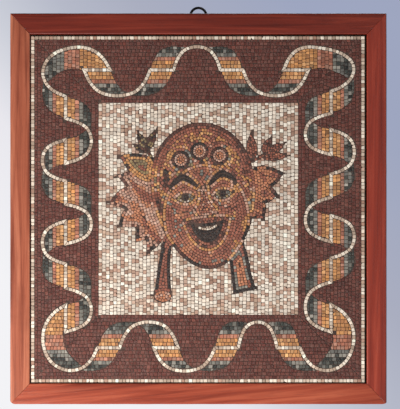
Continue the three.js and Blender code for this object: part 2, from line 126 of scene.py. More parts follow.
# ---- outlines of the stone areas, from the CAD plates --------------------------------------
def front_loops(node):
    """The closed outlines of a plate's front face, with its stone on the left of each step."""
    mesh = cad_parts[node].data
    spots = [(v.co.x / MM, v.co.y / MM, v.co.z / MM) for v in mesh.vertices]
    front = min(s[1] for s in spots)
    key = [(round(s[0], 3), round(s[2], 3)) for s in spots]
    steps = set()
    for face in mesh.polygons:
        if all(spots[i][1] < front + 0.01 for i in face.vertices):
            around = [key[i] for i in face.vertices]
            for a, b in zip(around, around[1:] + around[:1]):
                if (b, a) in steps:
                    steps.remove((b, a))
                else:
                    steps.add((a, b))
    following = dict(sorted(steps))
    loops = []
    while following:
        start = spot = next(iter(following))
        loop = []
        while spot in following:
            loop.append(spot)
            spot = following.pop(spot)
        loops.append(np.array(loop))
    return loops


def smooth(loop, corner=50, spacing=1.6):
    """The loop as a smooth curve through its points, except that sharp corners stay sharp."""
    before, after = np.roll(loop, 1, 0), np.roll(loop, -1, 0)
    came, goes = loop - before, after - loop
    came_len = np.linalg.norm(came, axis=1, keepdims=True)
    goes_len = np.linalg.norm(goes, axis=1, keepdims=True)
    came_dir, goes_dir = came / came_len, goes / goes_len
    mean = came_dir * goes_len + goes_dir * came_len
    mean /= np.maximum(np.linalg.norm(mean, axis=1, keepdims=True), 1e-9)
    sharp = (came_dir * goes_dir).sum(1) < math.cos(math.radians(corner))
    out = []
    for i in range(len(loop)):
        j = (i + 1) % len(loop)
        length = goes_len[i, 0]
        leave = goes_dir[i] if sharp[i] else mean[i]
        arrive = goes_dir[i] if sharp[j] else mean[j]
        steps = max(1, int(round(length / spacing)))
        for t in np.arange(steps) / steps:
            a, b = 2 * t**3 - 3 * t**2 + 1, t**3 - 2 * t**2 + t
            c, d = -2 * t**3 + 3 * t**2, t**3 - t**2
            out.append(a * loop[i] + b * length * leave + c * loop[j] + d * length * arrive)
    return np.array(out)


class Area:
    """A stone area: its smoothed loops and their steps, with the inside on the left."""

    def __init__(self, loops):
        self.loops = [smooth(loop) for loop in loops]
        self.start = np.vstack(self.loops)
        self.end = np.vstack([np.roll(loop, -1, 0) for loop in self.loops])
        step = self.end - self.start
        self.length = np.linalg.norm(step, axis=1)
        self.along = step / self.length[:, None]
        self.inward = np.column_stack([-self.along[:, 1], self.along[:, 0]])
        self.low, self.high = self.start.min(0), self.start.max(0)
        self.notches = self._find_notches()

    def _find_notches(self):
        """Corners where the area bends round its surroundings: a stone there is split in two."""
        found = []
        for loop in self.loops:
            came = loop - np.roll(loop, 1, 0)
            goes = np.roll(loop, -1, 0) - loop
            came /= np.linalg.norm(came, axis=1, keepdims=True)
            goes /= np.linalg.norm(goes, axis=1, keepdims=True)
            turn = came[:, 0] * goes[:, 1] - came[:, 1] * goes[:, 0]
            for spot, a, b in zip(loop[turn < -0.4], came[turn < -0.4], goes[turn < -0.4]):
                found.append((spot, (a - b) / np.linalg.norm(a - b)))
        return found

    def distance(self, points):
        """How far each point is from the nearest step."""
        out = np.empty(len(points))
        for first in range(0, len(points), 500):
            chunk = points[first:first + 500, None, :] - self.start[None]
            share = np.clip((chunk * self.along[None]).sum(2), 0, self.length[None])
            gap = chunk - share[..., None] * self.along[None]
            out[first:first + 500] = np.sqrt((gap**2).sum(2).min(1))
        return out

    def holds(self, points):
        """Whether each point lies inside."""
        out = np.empty(len(points), bool)
        x0, z0 = self.start.T
        x1, z1 = self.end.T
        for first in range(0, len(points), 500):
            x = points[first:first + 500, 0, None]
            z = points[first:first + 500, 1, None]
            spans = (z0[None] > z) != (z1[None] > z)
            rise = np.where(z1 == z0, 1e-12, z1 - z0)
            cross = (x1 - x0)[None] * (z - z0[None]) / rise[None] + x0[None]
            out[first:first + 500] = (spans & (x < cross)).sum(1) % 2 == 1
        return out

    def near(self, centre, reach):
        """The steps that come within reach of a point."""
        offset = np.asarray(centre) - self.start
        share = np.clip((offset * self.along).sum(1), 0, self.length)
        gap = offset - share[:, None] * self.along
        return np.nonzero((gap**2).sum(1) < reach * reach)[0]


# ---- convex polygons -----------------------------------------------------------------------
def clip(poly, px, pz, nx, nz):
    """The part of a convex polygon on the side of the line through (px, pz) that n points to."""
    out = []
    count = len(poly)
    heights = [(x - px) * nx + (z - pz) * nz for x, z in poly]
    for i in range(count):
        j = (i + 1) % count
        if heights[i] >= 0:
            out.append(poly[i])
        if (heights[i] >= 0) != (heights[j] >= 0):
            share = heights[i] / (heights[i] - heights[j])
            (x0, z0), (x1, z1) = poly[i], poly[j]
            out.append((x0 + (x1 - x0) * share, z0 + (z1 - z0) * share))
    return out


def measure(poly):
    """Area and centre of a polygon."""
    total = cx = cz = 0.0
    for (x0, z0), (x1, z1) in zip(poly, poly[1:] + poly[:1]):
        cross = x0 * z1 - x1 * z0
        total += cross
        cx += (x0 + x1) * cross
        cz += (z0 + z1) * cross
    if abs(total) < 1e-6:
        return 0.0, poly[0]
    return total / 2, (cx / (3 * total), cz / (3 * total))


def shrink(poly, margin):
    """A convex polygon with every edge moved inwards."""
    out = poly
    for (x0, z0), (x1, z1) in zip(poly, poly[1:] + poly[:1]):
        length = math.hypot(x1 - x0, z1 - z0)
        if length < 1e-6:
            continue
        nx, nz = -(z1 - z0) / length, (x1 - x0) / length
        out = clip(out, x0 + nx * margin, z0 + nz * margin, nx, nz)
        if len(out) < 3:
            return []
    return out


def crosses(poly, start, end):
    """Whether a step passes through a convex polygon."""
    low, high = 0.0, 1.0
    dx, dz = end[0] - start[0], end[1] - start[1]
    for (x0, z0), (x1, z1) in zip(poly, poly[1:] + poly[:1]):
        nx, nz = -(z1 - z0), x1 - x0
        height = (start[0] - x0) * nx + (start[1] - z0) * nz
        slope = dx * nx + dz * nz
        if abs(slope) < 1e-12:
            if height < 0:
                return False
            continue
        cut = -height / slope
        if slope > 0:
            low = max(low, cut)
        else:
            high = min(high, cut)
        if low >= high:
            return False
    return True


def fit(poly, area, depth=0):
    """Cuts a stone to its area. It gives one piece, none, or two round a notch."""
    if len(poly) < 3:
        return []
    size, centre = measure(poly)
    if size < 0.5:
        return []
    reach = max(math.dist(centre, spot) for spot in poly)
    close = [i for i in area.near(centre, reach) if crosses(poly, area.start[i], area.end[i])]
    if not close:
        return [poly] if area.holds(np.array([centre]))[0] else []
    if depth < 2:
        for spot, way in area.notches:
            if math.dist(spot, centre) < reach and inside(poly, spot, 0.15):
                nx, nz = -way[1], way[0]
                halves = [clip(poly, *spot, nx, nz), clip(poly, *spot, -nx, -nz)]
                return [piece for half in halves for piece in fit(half, area, depth + 1)]
    for i in close:
        edge = area.start[i] - area.inward[i] * AREA_GAP / 2
        poly = clip(poly, *edge, *area.inward[i])
        if len(poly) < 3:
            return []
    return [poly]


def inside(poly, spot, margin):
    """Whether a spot lies in a convex polygon, at least a margin from its edges."""
    for (x0, z0), (x1, z1) in zip(poly, poly[1:] + poly[:1]):
        length = math.hypot(x1 - x0, z1 - z0)
        if ((spot[1] - z0) * (x1 - x0) - (spot[0] - x0) * (z1 - z0)) < margin * length:
            return False
    return True


# ---- laying stones -------------------------------------------------------------------------
class Bag:
    """The stones of one piece: outlines, colours and a random number for each."""

    def __init__(self, name, rng):
        self.name, self.rng, self.stones = name, rng, []

    def add(self, poly, colour, usual=STONE):
        """Keeps a stone if enough is left of it once its joints are taken off."""
        rng = self.rng
        poly = shrink(poly, JOINT / 2 + abs(rng.gauss(0, 0.05)))
        if len(poly) < 3:
            return
        size, centre = measure(poly)
        if size < 0.09 * usual * usual:
            return
        self.stones.append((chipped(poly, rng), colour, centre))


def chipped(poly, rng):
    """A hand-cut stone: one or two of its corners are knocked off."""
    for _ in range(rng.choice((0, 1, 1, 2))):
        spot = Vector(rng.choice(poly))
        _, centre = measure(poly)
        way = Vector(centre) - spot
        if way.length < 1.2:
            continue
        way = way.normalized()
        cut = rng.uniform(0.2, 0.75)
        turned = Matrix.Rotation(rng.uniform(-0.5, 0.5), 2) @ way
        shorter = clip(poly, spot.x + turned.x * cut, spot.y + turned.y * cut, turned.x, turned.y)
        if len(shorter) >= 3:
            poly = shorter
    merged = [spot for i, spot in enumerate(poly) if math.dist(spot, poly[i - 1]) > 0.12]
    return merged if len(merged) >= 3 else poly


def wobble(along, row, seed, size):
    """How far a row of stones wanders from its line."""
    return size * noise.noise(Vector((along / 15.0, row * 3.7, seed)))


def row_stones(rng, edges, low, high, length, upright, wander=0.55, stagger=True):
    """Raw stones in straight rows. edges are the rows' limits; rows run from low to high."""
    seed = rng.uniform(0, 100)
    for row, (near, far) in enumerate(zip(edges, edges[1:])):
        here = low - (rng.uniform(0, length) if stagger else 0)
        lean = rng.gauss(0, 0.22)
        while here < high:
            reach = here + length * rng.uniform(0.8, 1.2)
            next_lean = rng.gauss(0, 0.22)
            spots = [
                (here - lean, near + wobble(here, row, seed, wander)),
                (reach - next_lean, near + wobble(reach, row, seed, wander)),
                (reach + next_lean, far + wobble(reach, row + 1, seed, wander)),
                (here + lean, far + wobble(here, row + 1, seed, wander)),
            ]
            if upright:
                spots = [(v, u) for u, v in spots][::-1]
            yield spots
            here, lean = reach, next_lean


def lay(bag, area, raw, colour_of, limits=(), usual=STONE):
    """Cuts raw stones to an area and to half planes, and colours each by its centre."""
    raw = [poly for poly in raw if len(poly) >= 3]
    centres = np.array([np.mean(poly, 0) for poly in raw])
    reach = usual * 1.1
    near = area.distance(centres) < reach
    within = area.holds(centres)
    for poly, is_near, is_in in zip(raw, near, within):
        if not (is_near or is_in):
            continue
        for px, pz, nx, nz in limits:
            poly = clip(poly, px, pz, nx, nz)
        for piece in (fit(poly, area) if is_near else [poly]):
            if len(piece) >= 3:
                bag.add(piece, colour_of(measure(piece)[1]), usual)


def even_edges(low, high, pitch):
    """Limits of equal rows, as near to the pitch as fits."""
    rows = max(1, round((high - low) / pitch))
    return [low + (high - low) * i / rows for i in range(rows + 1)]


# ---- the panel's own measures, from the frame ----------------------------------------------
def box_mm(node):
    """The box of a node of the frame, in millimetres."""
    low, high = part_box(node)
    return np.array(low) / MM, np.array(high) / MM


def opening():
    """The frame's opening: left, right, bottom and top."""
    left = front_limit("frame_rail_left", 0, 1)
    right = front_limit("frame_rail_right", 0, -1)
    bottom = front_limit("frame_rail_bottom", 2, 1)
    top = front_limit("frame_rail_top", 2, -1)
    return left, right, bottom, top


def front_limit(node, axis, side):
    """Where a rail meets the opening, on the side given."""
    low, high = box_mm(node)
    return (high if side > 0 else low)[axis]


LEFT, RIGHT, BOTTOM, TOP = opening()
FRAME_LOW = np.minimum(box_mm("frame_rail_left")[0], box_mm("frame_rail_bottom")[0])
FRAME_HIGH = np.maximum(box_mm("frame_rail_right")[1], box_mm("frame_rail_top")[1])
SIDE_WIDTH, END_WIDTH = LEFT - FRAME_LOW[0], BOTTOM - FRAME_LOW[2]
MIDDLE = ((LEFT + RIGHT) / 2, (BOTTOM + TOP) / 2)
FACE = box_mm("field")[0][1]  # the stones' faces
AREAS = {}


def area_of(node):
    """The stone area of a node, worked out once."""
    if node not in AREAS:
        AREAS[node] = Area(front_loops(node))
    return AREAS[node]


def inwards(spot):
    """Distance from the nearest side of the opening, and that side."""
    return min((spot[0] - LEFT, "left"), (RIGHT - spot[0], "right"),
               (spot[1] - BOTTOM, "bottom"), (TOP - spot[1], "top"))


DIAGONAL = math.sqrt(0.5)
# The half planes that mitre each side's rows to the next side's at the corners.
MITRES = {
    "top": [(LEFT, TOP, DIAGONAL, DIAGONAL), (RIGHT, TOP, -DIAGONAL, DIAGONAL)],
    "bottom": [(LEFT, BOTTOM, DIAGONAL, -DIAGONAL), (RIGHT, BOTTOM, -DIAGONAL, -DIAGONAL)],
    "left": [(LEFT, TOP, -DIAGONAL, -DIAGONAL), (LEFT, BOTTOM, -DIAGONAL, DIAGONAL)],
    "right": [(RIGHT, TOP, DIAGONAL, -DIAGONAL), (RIGHT, BOTTOM, DIAGONAL, DIAGONAL)],
}


def side_edges(side, depths):
    """Depths from a side as places across it, in rising order."""
    if side == "left":
        return [LEFT + d for d in depths]
    if side == "right":
        return [RIGHT - d for d in reversed(depths)]
    if side == "bottom":
        return [BOTTOM + d for d in depths]
    return [TOP - d for d in reversed(depths)]


def side_span(side):
    """Where the rows along a side of the opening start and stop."""
    return (BOTTOM, TOP) if side in ("left", "right") else (LEFT, RIGHT)


# ---- each area's stones --------------------------------------------------------------------
def lay_edge_line(bag):
    """One row of near-square stones round the slab."""
    low, high = box_mm("edge_line")
    inner = min(front_loops("edge_line"), key=lambda loop: np.ptp(loop[:, 0]))
    width = inner[:, 0].min() - low[0]
    rng = bag.rng
    for upright, limits in ((False, (low[2], high[2] - width)), (True, (low[0], high[0] - width))):
        start, stop = (low[0], high[0]) if not upright else (low[2] + width, high[2] - width)
        count = round((stop - start) / (STONE * 0.97))
        for near in limits:
            joints = [start + (stop - start) * (i + rng.uniform(-0.13, 0.13)) / count
                      for i in range(count + 1)]
            joints[0], joints[-1] = start, stop
            for a, b in zip(joints, joints[1:]):
                poly = [(a, near), (b, near), (b, near + width), (a, near + width)]
                if upright:
                    poly = [(v, u) for u, v in poly][::-1]
                bag.add(poly, pick(rng, "cream" if rng.random() < 0.8 else "brown"))


def lay_ground(bag, area, start, stop):
    """Rows parallel to the frame, mitred at the corners."""
    for side in ("top", "right", "bottom", "left"):
        edges = side_edges(side, even_edges(start, stop, STONE * 0.98))
        raw = row_stones(bag.rng, edges, *side_span(side), STONE, side in ("left", "right"), 0.9)
        lay(bag, area, list(raw), lambda spot: pick(bag.rng, "ground", 0.06), MITRES[side])


def stripe_edges():
    """The limits of the ribbon's rows, measured inwards."""
    depths = [STRIPES_START]
    for _, limit, rows in STRIPES:
        first = depths[-1]
        depths += [first + (limit - first) * (i + 1) / rows for i in range(rows)]
    depths[-1] += 1.5
    return depths


def stripe_colour(rng, depth, stripes):
    """The colour of a ribbon stone by its depth; dark and grey stones mix a little."""
    for name, limit, *_ in stripes:
        if depth < limit:
            break
    if name == "dark" and rng.random() < 0.22:
        name = "grey"
    if name == "grey" and rng.random() < 0.12:
        name = "dark"
    return pick(rng, name, 0.08)


def lay_ribbon(bag):
    """Each part of the ribbon between two stretches of its pale line is an area of its own."""
    rng = bag.rng
    loops = front_loops("ribbon")
    sizes = [measure([tuple(p) for p in loop])[0] for loop in loops]
    usual = sorted(sizes)[len(sizes) // 2]
    for loop, size in zip(loops, sizes):
        if size < 0.05 * usual:
            continue
        area = Area([loop])
        _, centre = measure([tuple(p) for p in loop])
        is_corner = size > 1.6 * usual
        side = corner_side(centre) if is_corner else inwards(centre)[1]
        upright = side in ("left", "right")
        low, high = (area.low[1], area.high[1]) if upright else (area.low[0], area.high[0])
        if is_corner:
            across = (area.low[0], area.high[0]) if upright else (area.low[1], area.high[1])
            edges = even_edges(*across, STONE)
            stripes = CORNER_STRIPES
        else:
            edges = side_edges(side, stripe_edges())
            stripes = STRIPES
        raw = row_stones(rng, edges, low, high, STONE * 0.97, upright, 0.3)

        def colour(spot, side=side, stripes=stripes):
            depth = {"left": spot[0] - LEFT, "right": RIGHT - spot[0],
                     "bottom": spot[1] - BOTTOM, "top": TOP - spot[1]}[side]
            return stripe_colour(rng, depth, stripes)

        lay(bag, area, list(raw), colour)


def corner_side(centre):
    """The side that a corner loop's stripes run along: upright above, level below."""
    if centre[1] < MIDDLE[1]:
        return "bottom"
    return "left" if centre[0] < MIDDLE[0] else "right"


def lay_line(bag):
    """One row of pale stones along the ribbon's fold line and across it."""
    rng = bag.rng
    outer, inner = sorted(front_loops("ribbon_line"), key=lambda loop: -np.ptp(loop[:, 0]))
    inner = inner[::-1]
    shift = np.linalg.norm(inner - outer[0], axis=1).argmin()
    inner = np.roll(inner, -shift, 0)
    centre, half = (outer + inner) / 2, (outer - inner) / 2
    rail = smooth(np.array(centre), 50, 0.8)
    usual = np.linalg.norm(half, axis=1).min()
    corners = [i for i in range(len(centre)) if np.linalg.norm(half[i]) > usual * 1.12]
    joints = []
    marks = sorted((int(np.linalg.norm(rail - centre[i], axis=1).argmin()), i) for i in corners)
    for (first, corner), (last, _) in zip(marks, marks[1:] + marks[:1]):
        stretch = rail[first:last + 1] if last > first else np.vstack([rail[first:], rail[:last + 1]])
        run = np.concatenate([[0], np.cumsum(np.linalg.norm(np.diff(stretch, axis=0), axis=1))])
        count = max(1, round(run[-1] / (STONE * 0.96)))
        joints.append((centre[corner], half[corner]))
        for k in range(1, count):
            at = run[-1] * (k + rng.uniform(-0.12, 0.12)) / count
            spot = np.array([np.interp(at, run, stretch[:, axis]) for axis in (0, 1)])
            ahead = np.array([np.interp(at + 0.8, run, stretch[:, axis]) for axis in (0, 1)])
            behind = np.array([np.interp(at - 0.8, run, stretch[:, axis]) for axis in (0, 1)])
            way = (ahead - behind) / np.linalg.norm(ahead - behind)
            joints.append((spot, np.array([way[1], -way[0]]) * usual))
    for (a, da), (b, db) in zip(joints, joints[1:] + joints[:1]):
        da = da if da @ db > 0 or np.linalg.norm(da) > usual * 1.12 else -da
        poly = [tuple(a - da), tuple(a + da), tuple(b + db), tuple(b - db)]
        if measure(poly)[0] < 0:
            poly = poly[::-1]
        bag.add(poly, pick(rng, "cream", 0.06))


def lay_field(bag):
    """Upright columns with staggered joints; cream stones mixed with brown and pink ones."""
    area = area_of("field")
    edges = even_edges(area.low[0], area.high[0], STONE * 0.98)
    raw = row_stones(bag.rng, edges, area.low[1], area.high[1], STONE, True, 0.5)

    def colour(spot):
        cloud = noise.noise(Vector((spot[0] / 40, spot[1] / 40, 3.0)))
        chance = 0.34 + 0.25 * cloud
        return pick(bag.rng, "brown" if bag.rng.random() < chance else "pale")

    lay(bag, area, list(raw), colour)


def contour_seeds(area, pitch, rng):
    """Places for stones in rows that follow the area's outline: (spot, direction, row)."""
    seeds = []
    row = 0
    while row < 60:
        depth = (row + 0.5) * pitch
        kept_any = False
        for loop in area.loops:
            dense = smooth(loop, 35, 0.5)
            step = np.roll(dense, -1, 0) - np.roll(dense, 1, 0)
            step /= np.maximum(np.linalg.norm(step, axis=1, keepdims=True), 1e-9)
            spots = dense + np.column_stack([-step[:, 1], step[:, 0]]) * depth
            good = (area.distance(spots) > depth - 0.12) & area.holds(spots)
            kept_any = kept_any or good.any()
            run = rng.uniform(0, pitch)
            last = None
            for spot, way, ok in zip(spots, step, good):
                if not ok:
                    last = None
                    continue
                if last is not None:
                    run += np.linalg.norm(spot - last)
                last = spot
                if run >= pitch:
                    run = rng.uniform(-0.12, 0.12) * pitch
                    if all((spot[0] - s[0][0])**2 + (spot[1] - s[0][1])**2 > (0.62 * pitch)**2
                           for s in seeds[-400:]):
                        seeds.append((spot, way, row))
        if not kept_any:
            break
        row += 1
    return fill_gaps(area, pitch, seeds)


def fill_gaps(area, pitch, seeds):
    """Adds a seed wherever a stone would still fit."""
    grid = np.stack(np.meshgrid(
        np.arange(area.low[0], area.high[0], 1.1), np.arange(area.low[1], area.high[1], 1.1),
    ), -1).reshape(-1, 2)
    grid = grid[area.holds(grid)]
    depth = area.distance(grid)
    grid, depth = grid[depth > 0.33 * pitch], depth[depth > 0.33 * pitch]
    placed = np.array([s[0] for s in seeds]) if seeds else np.empty((0, 2))
    for spot, deep in zip(grid, depth):
        if len(placed) and ((placed - spot)**2).sum(1).min() < (0.86 * pitch)**2:
            continue
        nearest = area.near(spot, deep + 0.01)
        way = area.along[nearest[0]] if len(nearest) else np.array([1.0, 0.0])
        seeds.append((spot, way, int(deep / pitch)))
        placed = np.vstack([placed, spot])
    return seeds


def lay_contours(bag, node, colour_of, pitch=FINE_STONE):
    """Fills an area with small stones in rows along its outline."""
    area = area_of(node)
    seeds = contour_seeds(area, pitch, bag.rng)
    spots = np.array([s[0] for s in seeds])
    for i, (spot, way, row) in enumerate(seeds):
        across = np.array([-way[1], way[0]])
        poly = [tuple(spot + way * a * pitch * 0.62 + across * b * pitch * 0.56)
                for a, b in SQUARE]
        offsets = spots - spot
        gaps = (offsets**2).sum(1)
        for j in np.nonzero((gaps < (2.2 * pitch)**2) & (gaps > 0))[0]:
            length = math.sqrt(gaps[j])
            nx, nz = -offsets[j] / length
            poly = clip(poly, *(spot + offsets[j] / 2), nx, nz)
            if len(poly) < 3:
                break
        for piece in fit(poly, area):
            bag.add(piece, colour_of(spot, row), pitch)


# ---- the pictured mask ---------------------------------------------------------------------
def patch(spot, scale, seed):
    """A smooth random number from about -1 to 1, alike over areas of the given size."""
    return 1.6 * noise.noise(Vector((spot[0] / scale, spot[1] / scale, seed)))


FREE_EDGES = {}


def free_edge(node):
    """The points of an area's outline where it meets the plain field, not its neighbours."""
    if node not in FREE_EDGES:
        points = area_of(node).start
        for other in PICTURE:
            if other != node and len(points):
                points = points[area_of(other).distance(points) > 1.2]
        FREE_EDGES[node] = points
    return FREE_EDGES[node]


def is_outline(node, spot):
    """Whether a stone stands in the first row inside the picture's outer edge."""
    edge = free_edge(node)
    return len(edge) > 0 and ((edge - np.asarray(spot))**2).sum(1).min() < OUTLINE_DEPTH**2


def share_across(node, spot):
    """Where a spot lies in a node's box, from 0 to 1 each way."""
    low, high = box_mm(node)
    return (spot[0] - low[0]) / (high[0] - low[0]), (spot[1] - low[2]) / (high[2] - low[2])


def hair_colour(rng, spot, row):
    """A dark rim, two warm bands above the face, then streaks."""
    _, v = share_across("mask_hair", spot)
    if is_outline("mask_hair", spot):
        return pick(rng, "umber")
    edge = free_edge("mask_hair")
    band = math.sqrt(((edge - np.asarray(spot))**2).sum(1).min()) / FINE_STONE
    band += 0.9 * patch(spot, 26, 1.0)
    if band < 3.2 and v > 0.4:
        return pick(rng, "rust" if rng.random() < 0.85 else "umber")
    if band < 5.4 and v > 0.4:
        return pick(rng, "ochre" if rng.random() < 0.5 else "terracotta")
    streak = patch((spot[0] * 0.9 + spot[1] * 0.3, spot[1] * 0.25), 7, 5.0)
    if streak > 0.5:
        return pick(rng, "olive" if rng.random() < 0.6 else "grey")
    if streak > 0.15:
        return pick(rng, "ochre")
    if streak > -0.2:
        return pick(rng, "pink" if rng.random() < 0.35 else "terracotta")
    if streak > -0.55:
        return pick(rng, "rust")
    return pick(rng, "black" if rng.random() < 0.4 else "umber")


def face_colour(rng, spot, row):
    """Warm patches, orange at the left and darker at the right edge."""
    u, _ = share_across("mask_face", spot)
    if is_outline("mask_face", spot):
        return pick(rng, "black" if u > 0.75 or rng.random() < 0.3 else "umber")
    if row == 0:
        return pick(rng, "ochre" if rng.random() < 0.6 else "pink")
    tone = patch((spot[0], spot[1] * 0.55), 16, 8.0)
    if u < 0.42 and tone > 0.25:
        return pick(rng, "orange")
    if u > 0.82:
        return pick(rng, "ochre" if tone > 0 else "rust")
    if tone > 0.45:
        return pick(rng, "pink" if rng.random() < 0.4 else "orange")
    if tone < -0.4:
        return pick(rng, "rust")
    if abs(tone) < 0.06 and rng.random() < 0.5:
        return pick(rng, "grey")
    return pick(rng, "terracotta")


def leaf_colour(node, light, deep):
    """A leaf: dark outline, a light margin, then veins of a deeper colour."""
    def colour(rng, spot, row):
        if is_outline(node, spot) and rng.random() < 0.7:
            return pick(rng, "umber" if rng.random() < 0.6 else "black")
        tone = patch((spot[0] * 0.6 + spot[1] * 0.5, spot[1] * 0.4), 9, 11.0)
        if row <= 1 and tone > -0.3:
            return pick(rng, light)
        if tone > 0.35:
            return pick(rng, light)
        if tone < -0.45:
            return pick(rng, "rust")
        return pick(rng, deep)
    return colour


def tie_colour(node, middle):
    """A tie: dark rim, then its border and its middle colour."""
    def colour(rng, spot, row):
        if is_outline(node, spot):
            return pick(rng, "black")
        if row >= 2:
            return pick(rng, middle)
        return pick(rng, "rust" if middle == "rust" or rng.random() < 0.5 else "grey")
    return colour


def plain(*names):
    """Any of a few colours, at random."""
    def colour(rng, spot, row):
        return pick(rng, rng.choice(names))
    return colour


def rosette_colour(rng, spot, row):
    """A dark rim round a pink and orange heart."""
    if row == 0:
        return pick(rng, "black" if rng.random() < 0.45 else "umber")
    return pick(rng, "pink" if row == 1 else "orange")


PICTURE = {
    "mask_hair": hair_colour, "mask_face": face_colour,
    "mask_brow_left": plain("black"), "mask_brow_right": plain("black"),
    "mask_eye_left": plain("olive", "cream", "grey"), "mask_eye_right": plain("olive", "grey"),
    "mask_pupil_left": plain("black"), "mask_pupil_right": plain("black"),
    "mask_nose": plain("orange", "terracotta", "pink"),
    "mask_lips": plain("rust", "terracotta", "umber"),
    "mask_mouth": plain("black"), "mask_teeth": plain("cream"),
    "garland_rosette_1": rosette_colour, "garland_rosette_2": rosette_colour,
    "garland_rosette_3": rosette_colour,
    "leaf_left": leaf_colour("leaf_left", "ochre", "olive"),
    "vine_leaf_left": leaf_colour("vine_leaf_left", "pink", "orange"),
    "vine_leaf_right": leaf_colour("vine_leaf_right", "orange", "terracotta"),
    "twig_left": plain("black", "umber", "olive"),
    "twig_right": plain("umber", "terracotta", "rust"),
    "tie_left": tie_colour("tie_left", "rust"), "tie_right": tie_colour("tie_right", "orange"),
    "tie_left_end": plain("orange", "pink"),
}
TINY = {"mask_eye_left", "mask_eye_right", "mask_pupil_left", "mask_pupil_right", "mask_teeth",
        "mask_brow_left", "mask_brow_right", "twig_left", "twig_right", "mask_nose",
        "garland_rosette_1", "garland_rosette_2", "garland_rosette_3"}


def lay_picture(bag):
    """Every area of the mask, with smaller stones in the small ones."""
    for node, colour in PICTURE.items():
        pitch = 0.82 * FINE_STONE if node in TINY else FINE_STONE
        lay_contours(bag, node, lambda spot, row: colour(bag.rng, spot, row), pitch)


# ---- meshes --------------------------------------------------------------------------------
def new_object(name, verts, faces, colours=None):
    """A mesh object in metres from places in millimetres; colours are per corner point."""
    mesh = bpy.data.meshes.new(name)
    mesh.from_pydata((np.asarray(verts) * MM).tolist(), [], faces)
    if colours is not None:
        layer = mesh.color_attributes.new("stone_colour", "FLOAT_COLOR", "POINT")
        layer.data.foreach_set("color", np.asarray(colours, np.float32).ravel())
    mesh.update()
    thing = bpy.data.objects.new(name, mesh)
    bpy.context.scene.collection.objects.link(thing)
    return thing


def stones_object(bag):
    """All of a bag's stones as one mesh: flat-topped blocks with eased edges."""
    verts, faces, colours = [], [], []
    rng = bag.rng
    for outline, colour, centre in bag.stones:
        top = shrink(outline, EDGE_ROUNDING)
        if len(top) < 3:
            top = [tuple(np.array(centre) + 0.6 * (np.array(p) - centre)) for p in outline]
        if len(top) != len(outline):
            top = [closest_inside(p, centre, EDGE_ROUNDING) for p in outline]
        count = len(outline)
        drop = abs(rng.gauss(0, 0.07))
        lean_x, lean_z = rng.gauss(0, 0.012), rng.gauss(0, 0.012)

        def face_y(p):
            y = FACE + drop + lean_x * (p[0] - centre[0]) + lean_z * (p[1] - centre[1])
            return max(FACE, y)

        base = len(verts)
        verts += [(p[0], face_y(p), p[1]) for p in top]
        verts += [(p[0], face_y(p) + EDGE_ROUNDING * 0.9, p[1]) for p in outline]
        verts += [(p[0], FACE + STONE_DEPTH, p[1]) for p in outline]
        faces.append(tuple(range(base, base + count)))
        for ring in (base, base + count):
            for i in range(count):
                j = (i + 1) % count
                faces.append((ring + i, ring + count + i, ring + count + j, ring + j))
        faces.append(tuple(range(base + 3 * count - 1, base + 2 * count - 1, -1)))
        colours += [(*colour, rng.random())] * (3 * count)
    return new_object(bag.name, verts, faces, colours)


def closest_inside(spot, centre, step):
    """A corner of a small stone, moved a step towards its middle."""
    dx, dz = centre[0] - spot[0], centre[1] - spot[1]
    length = max(math.hypot(dx, dz), 1e-6)
    share = min(0.6, 1.3 * step / length)
    return spot[0] + dx * share, spot[1] + dz * share


def grout_object():
    """The mortar bed, its front brought up between the stones and left slightly uneven."""
    low, high = box_mm("mortar_bed")
    spacing = 4.0
    columns = round((high[0] - low[0]) / spacing)
    rows = round((high[2] - low[2]) / spacing)
    verts, faces = [], []
    for j in range(rows + 1):
        for i in range(columns + 1):
            x = low[0] + (high[0] - low[0]) * i / columns
            z = low[2] + (high[2] - low[2]) * j / rows
            rough = 0.16 * noise.noise(Vector((x / 6, z / 6, 0))) + 0.1 * math.sin(i * 12.9 + j * 78.2)
            verts.append((x, FACE + GROUT_DEPTH + rough, z))
    front = len(verts)

    def at(i, j):
        return j * (columns + 1) + i

    for j in range(rows):
        for i in range(columns):
            faces.append((at(i, j), at(i + 1, j), at(i + 1, j + 1), at(i, j + 1)))
    rim = [at(i, 0) for i in range(columns)] + [at(columns, j) for j in range(rows)]
    rim += [at(i, rows) for i in range(columns, 0, -1)] + [at(0, j) for j in range(rows, 0, -1)]
    verts += [(verts[i][0], high[1], verts[i][2]) for i in rim]
    count = len(rim)
    for k in range(count):
        n = (k + 1) % count
        faces.append((rim[k], front + k, front + n, rim[n]))
    faces.append(tuple(range(front + count - 1, front - 1, -1)))
    return new_object("grout", verts, faces)


def round_corner(cx, cd, radius, start):
    """Points of a quarter turn, clockwise from an angle in degrees."""
    angles = [math.radians(start - 90 * i / ROUND_STEPS) for i in range(ROUND_STEPS + 1)]
    return [(cx + radius * math.cos(a), cd + radius * math.sin(a)) for a in angles]


def rail_section(width, depth):
    """The rail across from its outer edge, and forwards from its back, with a rebate inside."""
    section = [(0, 0)]
    section += round_corner(RAIL_RADIUS, depth - RAIL_RADIUS, RAIL_RADIUS, 180)
    section += [(width * share, depth) for share in (0.25, 0.5, 0.75)]
    section += round_corner(width - RAIL_RADIUS, depth - RAIL_RADIUS, RAIL_RADIUS, 90)
    return section + [(width, REBATE[1]), (width - REBATE[0], REBATE[1]), (width - REBATE[0], 0)]


def stations(half):
    """Places along a rail, closer together near its mitres."""
    near_end = [0.0, 0.25, 1, 2, 3, 4.2, 5.6, 7.4, 9.5, 13, 18]
    inner = half - near_end[-1]
    middle = [inner * (2 * i / RAIL_PARTS - 1) for i in range(1, RAIL_PARTS)]
    return [-half + d for d in near_end] + middle + [half - d for d in reversed(near_end)]


